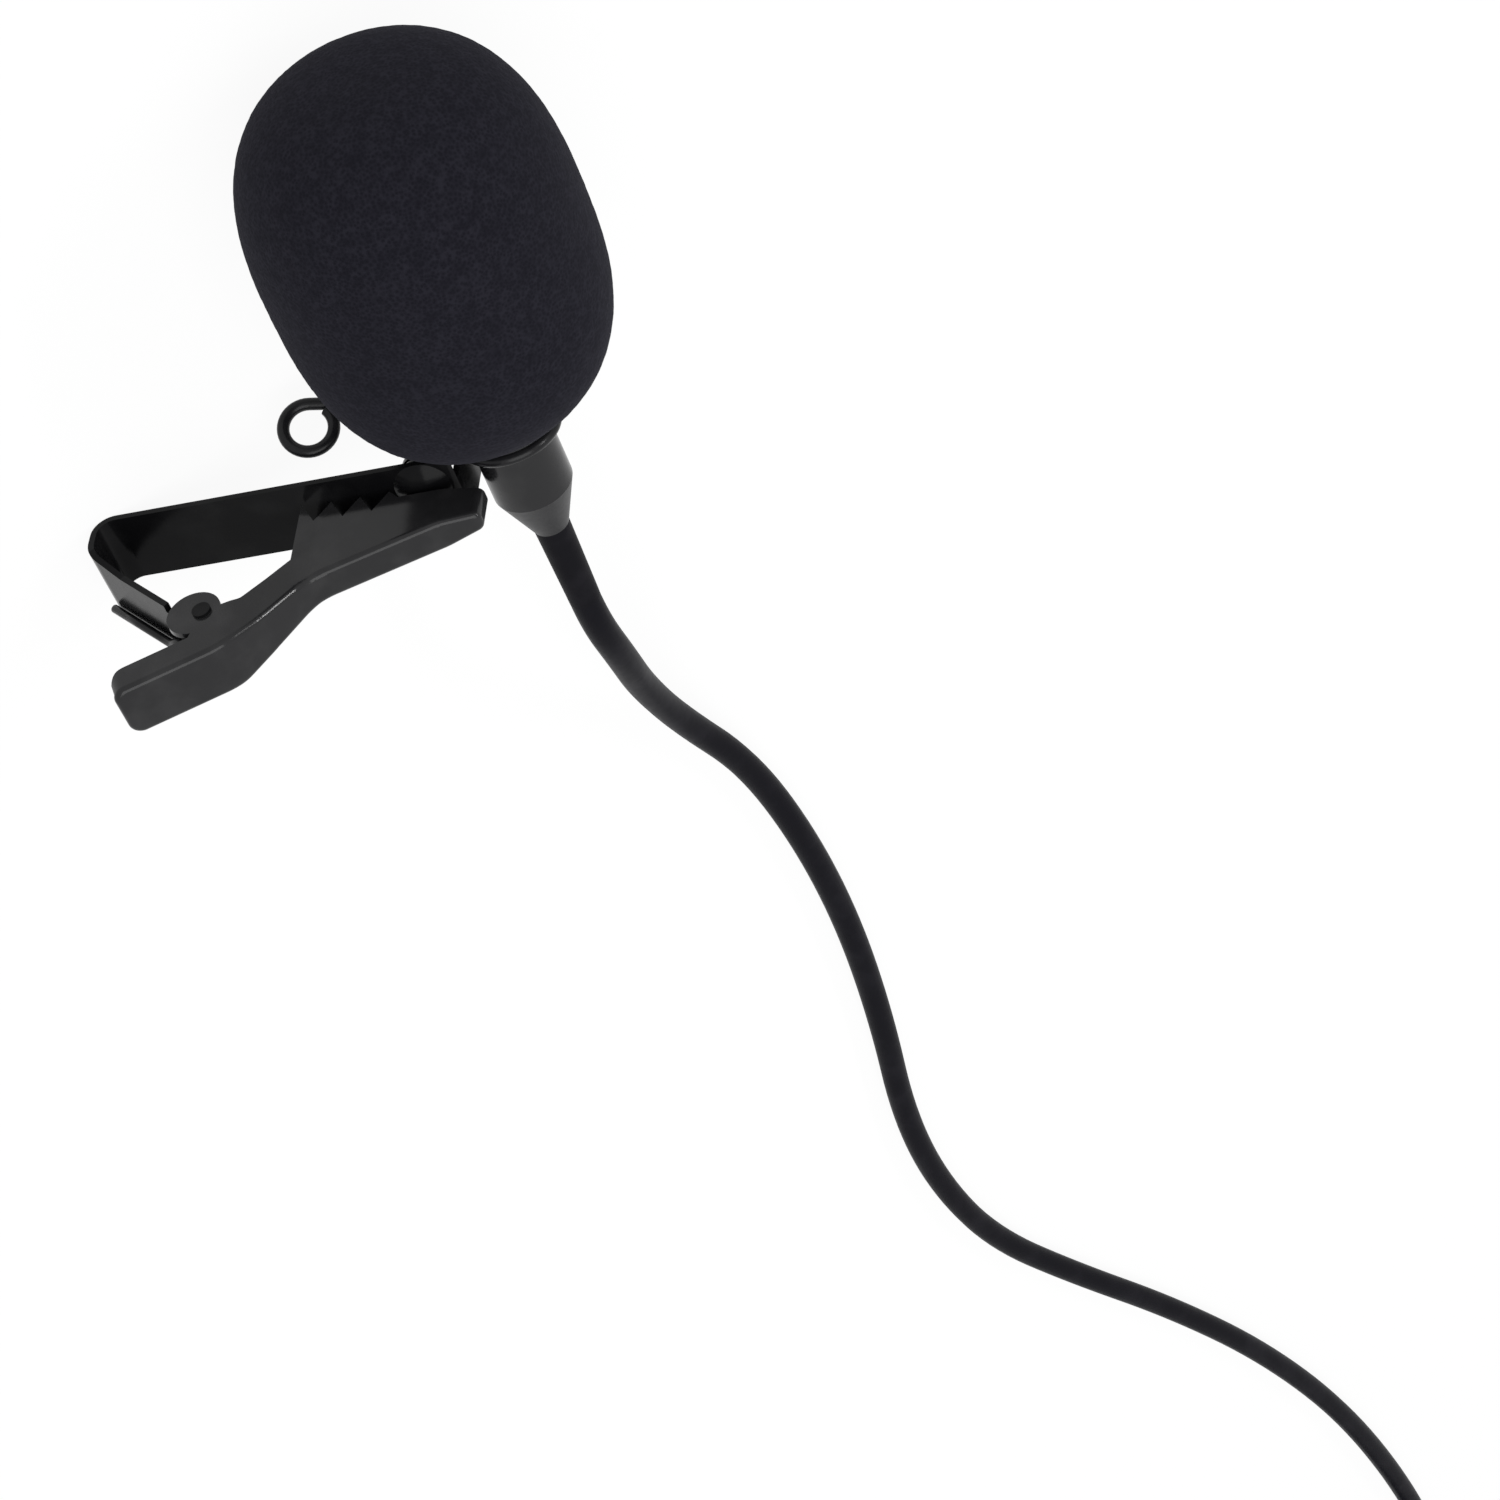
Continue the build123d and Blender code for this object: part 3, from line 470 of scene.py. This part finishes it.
def place_group(tree, group, **values):
    """Node that shows the group in this tree with the given socket values."""
    node = tree.nodes.new("ShaderNodeGroup")
    node.node_tree = group
    for label, value in values.items():
        node.inputs[label].default_value = value
    return node


def hard_finish(name, clean, dusty, roughness, variation, scale, depth, **sockets):
    """Principled finish whose colour comes from handling, and whose gloss and bump come from grain."""
    finish = bpy.data.materials.new(name)
    finish.use_nodes = True
    tree = finish.node_tree
    shade = tree.nodes["Principled BSDF"]
    for label, value in sockets.items():
        shade.inputs[label.replace("_", " ")].default_value = value
    colour = place_group(tree, handling, Clean=(*clean, 1), Dusty=(*dusty, 1))
    tree.links.new(colour.outputs["Color"], shade.inputs["Base Color"])
    texture = place_group(tree, grain, Scale=scale, Roughness=roughness, Variation=variation)
    tree.links.new(texture.outputs["Roughness"], shade.inputs["Roughness"])
    bump = tree.nodes.new("ShaderNodeBump")
    bump.inputs["Strength"].default_value = 1.0
    bump.inputs["Distance"].default_value = depth * MM
    tree.links.new(texture.outputs["Height"], bump.inputs["Height"])
    tree.links.new(bump.outputs["Normal"], shade.inputs["Normal"])
    return finish


# %% [markdown]
# The black parts differ less in colour than in how they mirror the white surroundings.  The strap is
# the blackest, and that darker colour is painted shade, for its inner face lies in shadow under the
# lever.
# The lever is a little lighter, and the cable and its sleeve hardly mirror at all.

# %% Hard finishes
BLACK = (0.0070, 0.0070, 0.0082)
DUSTY = (0.015, 0.015, 0.016)
HARD_FINISHES = {
    "clip black": dict(
        clean=(0.015, 0.015, 0.016),
        dusty=(0.024, 0.024, 0.025),
        roughness=0.15,
        variation=0.06,
        scale=900.0,
        depth=0.004,
        Specular_IOR_Level=0.22,
    ),
    # The strap's darker colour is painted shade: its inner face lies in shadow under the lever.
    "strap black, painted shade": dict(
        clean=(0.0045, 0.0045, 0.0050),
        dusty=(0.0085, 0.0085, 0.0090),
        roughness=0.18,
        variation=0.10,
        scale=1100.0,
        depth=0.005,
        Specular_IOR_Level=0.07,
    ),
    "wire black": dict(
        clean=BLACK,
        dusty=DUSTY,
        roughness=0.25,
        variation=0.10,
        scale=1500.0,
        depth=0.006,
        Specular_IOR_Level=0.16,
    ),
    "housing black": dict(
        clean=(0.013, 0.013, 0.014),
        dusty=(0.020, 0.020, 0.021),
        roughness=0.20,
        variation=0.10,
        scale=1800.0,
        depth=0.008,
        Specular_IOR_Level=0.26,
    ),
    "plastic black": dict(
        clean=BLACK,
        dusty=DUSTY,
        roughness=0.42,
        variation=0.12,
        scale=2600.0,
        depth=0.010,
        Specular_IOR_Level=0.3,
    ),
    "sleeve black": dict(
        clean=(0.0050, 0.0048, 0.0066),
        dusty=(0.0095, 0.0090, 0.0115),
        roughness=0.5,
        variation=0.12,
        scale=2200.0,
        depth=0.010,
        Specular_IOR_Level=0.05,
    ),
    "cable black": dict(
        clean=(0.0050, 0.0048, 0.0070),
        dusty=(0.0090, 0.0086, 0.0115),
        roughness=0.42,
        variation=0.14,
        scale=1400.0,
        depth=0.012,
        Specular_IOR_Level=0.05,
    ),
    "contact gold": dict(
        clean=(0.72, 0.52, 0.22),
        dusty=(0.6, 0.42, 0.18),
        roughness=0.22,
        variation=0.08,
        scale=1200.0,
        depth=0.004,
        Metallic=1.0,
    ),
    "inner steel": dict(
        clean=(0.55, 0.55, 0.55),
        dusty=(0.42, 0.42, 0.42),
        roughness=0.35,
        variation=0.1,
        scale=1600.0,
        depth=0.006,
        Metallic=1.0,
    ),
    "board green": dict(
        clean=(0.02, 0.12, 0.05),
        dusty=(0.03, 0.15, 0.07),
        roughness=0.4,
        variation=0.1,
        scale=1500.0,
        depth=0.006,
    ),
    "felt grey": dict(
        clean=(0.03, 0.03, 0.03),
        dusty=(0.06, 0.06, 0.06),
        roughness=0.95,
        variation=0.05,
        scale=3500.0,
        depth=0.050,
    ),
}
finishes = {name: hard_finish(name, **values) for name, values in HARD_FINISHES.items()}
print("hard finishes", len(finishes))

# %% [markdown]
# Each carried-over part now gets its finish.  A part keeps its own mesh, and only the slots of its
# object are filled.

# %% Finishes on the parts
WEARS = {
    "housing black": ["mic_housing", "grille_cap"],
    "felt grey": ["grille_felt"],
    "inner steel": ["capsule", "cable_clamp"],
    "sleeve black": ["capsule_gasket", "strain_relief", "plug_strain_relief"],
    "board green": ["capsule_board"],
    "plastic black": ["tail_cone", "plug_barrel", "plug_insulator_rear", "plug_insulator_front"],
    "cable black": ["inner_cable"],
    "strap black, painted shade": ["upper_jaw", "hinge_pin", "holder_rivet"],
    "clip black": ["lower_jaw"],
    "wire black": ["holder_wire"],
    "contact gold": ["plug_sleeve", "plug_ring", "plug_tip"],
}


def dress(piece, finish):
    """Put the finish in every material slot of the piece's object."""
    if not piece.material_slots:
        piece.data.materials.append(None)
    for slot in piece.material_slots:
        slot.link = "OBJECT"
        slot.material = finish


for finish_name, node_names in WEARS.items():
    for node_name in node_names:
        dress(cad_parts[node_name], finishes[finish_name])
cable.data.materials.append(finishes["cable black"])
print("finished parts", sum(len(node_names) for node_names in WEARS.values()))

# %% [markdown]
# The closing spring is a bent wire that is wound round the hinge pin.  Its long leg lies on the leaf and
# its short arm presses the pad, so when the lever turns, one end has to go with each.  The wire is laid
# out in the clip's side view: along the strap, square to it, and across, all measured from the pin.
# The leg and the arm are lists of steps in millimetres: how far from the coil, and how far across.

# %% Closing spring: the wire's line
STRAP_SLOPE = radians(30.01)
PAD_SLOPE = radians(22.6)
LEAF_TURN = radians(48.1)
COIL_MID = 1.70 * MM
WIRE_R = 0.35 * MM
WIRE_PITCH = 0.74 * MM
WIRE_SWEEP = radians(665)
COIL_FROM = 1.35 * MM
COIL_STEPS = 72
LEG = [(12.6, 2.25), (9.0, 2.25), (6.0, 2.25), (4.9, 2.25), (4.2, 1.8), (3.4, 1.35), (2.0, 1.35)]
ARM = [(1.0, -0.11), (2.2, -0.19), (3.4, -0.28), (4.13, -0.33)]
ARM_TIP = [(0.7, 0.03), (1.4, 0.15)]
pin_low, pin_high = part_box("hinge_pin")
pin = (Vector(pin_low) + Vector(pin_high)) / 2
along_strap = Vector((cos(STRAP_SLOPE), 0, -sin(STRAP_SLOPE)))
off_strap = Vector((sin(STRAP_SLOPE), 0, cos(STRAP_SLOPE)))


def round_pin(angle, across):
    """Point on the coil: pin + COIL_MID (cos angle along the strap + sin angle off it), across in Y."""
    spot = pin + COIL_MID * (cos(angle) * along_strap + sin(angle) * off_strap)
    return spot + Vector((0, across, 0))


def spring_line():
    """Leg, coil and arm as one list of points; the leg and the arm leave the coil along its tangent."""
    down_leaf = sin(LEAF_TURN) * along_strap - cos(LEAF_TURN) * off_strap
    points = [round_pin(LEAF_TURN, y * MM) + down_leaf * a * MM for a, y in LEG]
    for k in range(COIL_STEPS + 1):
        wound = WIRE_SWEEP * (k / COIL_STEPS)
        points.append(round_pin(LEAF_TURN + wound, COIL_FROM - WIRE_PITCH * wound / (2 * pi)))
    leaves = LEAF_TURN + WIRE_SWEEP
    up = cos(leaves) * off_strap - sin(leaves) * along_strap
    points += [round_pin(leaves, y * MM) + up * a * MM for a, y in ARM]
    turned = cos(PAD_SLOPE) * along_strap + sin(PAD_SLOPE) * off_strap
    elbow = points[-1]
    points += [elbow + turned * a * MM + Vector((0, y * MM, 0)) for a, y in ARM_TIP]
    return points


# %% [markdown]
# A tube needs a ring of points at every place on the line.  Each ring is turned as little as possible
# from the one before, so that the tube never twists, and both ends are closed with a flat cap.

# %% Closing spring: the tube
RING = 14


def make_tube(name, line, radius):
    """Closed tube of this radius along the line."""
    line = [Vector(p) for p in line]
    side = Vector((0, 1, 0))
    points = []
    for k, here in enumerate(line):
        ahead = (line[min(k + 1, len(line) - 1)] - line[max(k - 1, 0)]).normalized()
        side = (side - ahead * side.dot(ahead)).normalized()
        other = ahead.cross(side)
        for j in range(RING):
            angle = 2 * pi * j / RING
            points.append(here + radius * (cos(angle) * side + sin(angle) * other))
    faces = [list(range(RING))[::-1], [len(points) - RING + j for j in range(RING)]]
    for k in range(len(line) - 1):
        for j in range(RING):
            a, b = k * RING + j, k * RING + (j + 1) % RING
            faces.append([a, b, b + RING, a + RING])
    mesh = bpy.data.meshes.new(name)
    mesh.from_pydata([tuple(p) for p in points], [], faces)
    mesh.shade_smooth()
    tube = bpy.data.objects.new(name, mesh)
    bpy.context.scene.collection.objects.link(tube)
    return tube


line = spring_line()
spring = make_tube("closing_spring_wire", line, WIRE_R)
spring.data.materials.append(finishes["wire black"])
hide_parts("closing_spring")
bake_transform(spring)
print("spring points", len(line))

# %% [markdown]
# The windscreen is open-cell foam: an egg with a full, blunt outline, a bore that grips the head, and
# a soft matt skin full of tiny pores.  The outline is a superellipse, which is an ellipse whose power
# is a little above two.  It is turned round the head's axis, and a fine three-dimensional noise presses
# the skin in, so that even its edge against the light is not quite smooth.

# %% Windscreen: the outline
FOAM_FULLNESS = 2.7
FOAM_R = (foam_high[0] - foam_low[0]) / 2
FOAM_LENGTH = 33.1 * MM
foam_y = foam_low[1] + FOAM_LENGTH / 2
BORE_R = 3.6 * MM
BORE_DEPTH = 15.0 * MM
LIP = 0.5 * MM
OUTSIDE_STEPS = 2000
LIP_STEPS = 30


def foam_outline(count):
    """Distance along the axis and radius, as two arrays, evenly spaced along the outline.

    The outside is a superellipse: y = -a |cos t|^(2/n) and r = b |sin t|^(2/n), both signed.
    It ends at the bore, turns in over a rounded lip, and follows the bore to its closed end.
    """
    t = np.linspace(0, pi, OUTSIDE_STEPS)
    y = -FOAM_LENGTH / 2 * np.sign(np.cos(t)) * np.abs(np.cos(t)) ** (2 / FOAM_FULLNESS)
    r = FOAM_R * np.abs(np.sin(t)) ** (2 / FOAM_FULLNESS)
    outside = (y < 0) | (r > BORE_R + LIP)
    y, r = y[outside], r[outside]
    rear = y[-1]
    turn = np.linspace(pi / 2, pi, LIP_STEPS)
    lip_y = rear - LIP + LIP * np.sin(turn)
    lip_r = BORE_R + LIP + LIP * np.cos(turn)
    floor_y = rear - BORE_DEPTH
    y = np.concatenate([y, lip_y, [floor_y, floor_y]])
    r = np.concatenate([r, lip_r, [BORE_R, 0]])
    along = np.concatenate([[0], np.cumsum(np.hypot(np.diff(y), np.diff(r)))])
    even = np.linspace(0, along[-1], count)
    return np.interp(even, along, y), np.interp(even, along, r)


# %% [markdown]
# The pores come from value noise.  A block of random numbers stands on a cubic lattice, and between
# its corners the value is blended smoothly, all vertices at once.  Two such layers are added, and each
# has its share of the depth, its size in pores and the seed of its random numbers.

# %% Windscreen: the noise
LATTICE = 64
PORE_LAYERS = [(0.65, 1.0, 3), (0.35, 2.3, 5)]


def value_noise(points, cell, seed):
    """Random numbers on a lattice of this cell size, blended between the eight corners round a point."""
    lattice = np.random.default_rng(seed).random((LATTICE, LATTICE, LATTICE))
    spot = points / cell
    base = np.floor(spot).astype(int)
    part = spot - base
    part = part * part * (3 - 2 * part)
    value = np.zeros(len(points))
    for corner in np.ndindex(2, 2, 2):
        weight = np.prod(np.where(corner, part, 1 - part), axis=1)
        index = (base + corner) % LATTICE
        value += weight * lattice[index[:, 0], index[:, 1], index[:, 2]]
    return value


# %% Windscreen: the skin
FOAM_ROWS = 360
FOAM_COLUMNS = 250
PORE_SIZE = 0.34 * MM
PORE_DEPTH = 0.07 * MM


def close_grid(rows, columns):
    """Faces of a grid whose columns run round and close up, with a fan at each end row."""
    row = np.arange(rows - 1)[:, None] * columns
    column = np.arange(columns)[None, :]
    following = (column + 1) % columns
    corners = [row + column, row + following, row + columns + following, row + columns + column]
    return np.stack([c.ravel() for c in corners], axis=1) + 1


def make_windscreen():
    """Outline turned round the head's axis, pressed in by noise, and flattened where it meets the table.

    The noise acts along the outward direction (x / b^2, y / a^2, z / b^2) of the plain ellipsoid.
    """
    y, r = foam_outline(FOAM_ROWS + 2)
    inner_y, inner_r = y[1:-1], r[1:-1]
    around = np.linspace(0, 2 * pi, FOAM_COLUMNS, endpoint=False)
    x = inner_r[:, None] * np.cos(around)
    z = inner_r[:, None] * np.sin(around)
    points = np.stack([x, np.broadcast_to(inner_y[:, None], x.shape), z], axis=-1).reshape(-1, 3)
    points = np.concatenate([[(0, y[0], 0)], points, [(0, y[-1], 0)]])
    outward = points / np.array([FOAM_R, FOAM_LENGTH / 2, FOAM_R]) ** 2
    outward /= np.linalg.norm(outward, axis=1)[:, None]
    pores = sum(share * value_noise(points, PORE_SIZE * size, seed) for share, size, seed in PORE_LAYERS)
    on_outside = np.hypot(points[:, 0], points[:, 2]) > BORE_R + LIP
    on_outside |= points[:, 1] < 0
    points = points - outward * (pores * PORE_DEPTH * on_outside)[:, None]
    points += (head_x, foam_y, head_z)
    points[:, 2] = np.maximum(points[:, 2], 0.0)
    quads = close_grid(FOAM_ROWS, FOAM_COLUMNS)
    last = len(points) - 1
    first_row = np.arange(FOAM_COLUMNS) + 1
    last_row = first_row + (FOAM_ROWS - 1) * FOAM_COLUMNS
    front_fan = np.stack([np.roll(first_row, -1), first_row, np.zeros_like(first_row)], axis=1)
    rear_fan = np.stack([last_row, np.roll(last_row, -1), np.full_like(last_row, last)], axis=1)
    mesh = bpy.data.meshes.new("windscreen_foam")
    faces = [*quads[:, ::-1].tolist(), *front_fan[:, ::-1].tolist(), *rear_fan[:, ::-1].tolist()]
    mesh.from_pydata(points.tolist(), [], faces)
    mesh.shade_smooth()
    foam = bpy.data.objects.new("windscreen_foam", mesh)
    bpy.context.scene.collection.objects.link(foam)
    return foam


foam = make_windscreen()
print("windscreen faces", len(foam.data.polygons))

# %% [markdown]
# Foam takes light without gloss, and the walls of its cells catch a little of it at the edges, which
# looks like the sheen of velvet.  Deep cells are painted darker as fine specks, which is painted shade
# in
# the pores: a Voronoi pattern gives their walls, and a noise makes some deeper than others.

# %% Windscreen: the finish
# Deep pores get a darker colour: painted shade in the foam's cells.
FOAM_PORE_SHADE = (0.0075, 0.0073, 0.0108, 1)
FOAM_LIGHT = (0.0145, 0.0141, 0.0198, 1)
FOAM_SHADE = {
    "Roughness": 0.95,
    "Specular IOR Level": 0.05,
    "Sheen Weight": 0.02,
    "Sheen Roughness": 0.6,
    "Sheen Tint": (0.8, 0.8, 0.95, 1),
}
CELLS_A_METRE = 3600.0
MOTTLE_SCALE = 900.0
PORE_SHADE_BELOW = 0.1
LIGHT_ABOVE = 0.45
CELL_DEPTH = 0.04 * MM


def make_foam_finish():
    """Painted shade as dark specks where a Voronoi cell is deep, with the same cells as bump, under a
    faint sheen.
    """
    finish = bpy.data.materials.new("foam black")
    finish.use_nodes = True
    tree = finish.node_tree
    shade = tree.nodes["Principled BSDF"]
    for label, value in FOAM_SHADE.items():
        shade.inputs[label].default_value = value
    where = tree.nodes.new("ShaderNodeTexCoord")
    cells = tree.nodes.new("ShaderNodeTexVoronoi")
    cells.inputs["Scale"].default_value = CELLS_A_METRE
    tree.links.new(where.outputs["Object"], cells.inputs["Vector"])
    mottle = tree.nodes.new("ShaderNodeTexNoise")
    mottle.inputs["Scale"].default_value = MOTTLE_SCALE
    mottle.inputs["Detail"].default_value = 6.0
    tree.links.new(where.outputs["Object"], mottle.inputs["Vector"])
    height = tree.nodes.new("ShaderNodeMath")
    height.operation = "MULTIPLY"
    tree.links.new(cells.outputs["Distance"], height.inputs[0])
    tree.links.new(mottle.outputs["Fac"], height.inputs[1])
    colour = tree.nodes.new("ShaderNodeMix")
    colour.data_type = "RGBA"
    colour.inputs["A"].default_value = FOAM_PORE_SHADE
    colour.inputs["B"].default_value = FOAM_LIGHT
    spread = tree.nodes.new("ShaderNodeMapRange")
    spread.inputs["From Min"].default_value = PORE_SHADE_BELOW
    spread.inputs["From Max"].default_value = LIGHT_ABOVE
    tree.links.new(height.outputs[0], spread.inputs["Value"])
    tree.links.new(spread.outputs[0], colour.inputs["Factor"])
    tree.links.new(colour.outputs["Result"], shade.inputs["Base Color"])
    bump = tree.nodes.new("ShaderNodeBump")
    bump.inputs["Distance"].default_value = CELL_DEPTH
    tree.links.new(height.outputs[0], bump.inputs["Height"])
    tree.links.new(bump.outputs["Normal"], shade.inputs["Normal"])
    return finish


foam.data.materials.append(make_foam_finish())
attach(foam, "foam")
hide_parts("windscreen")

# %% The end
bpy.context.view_layer.update()
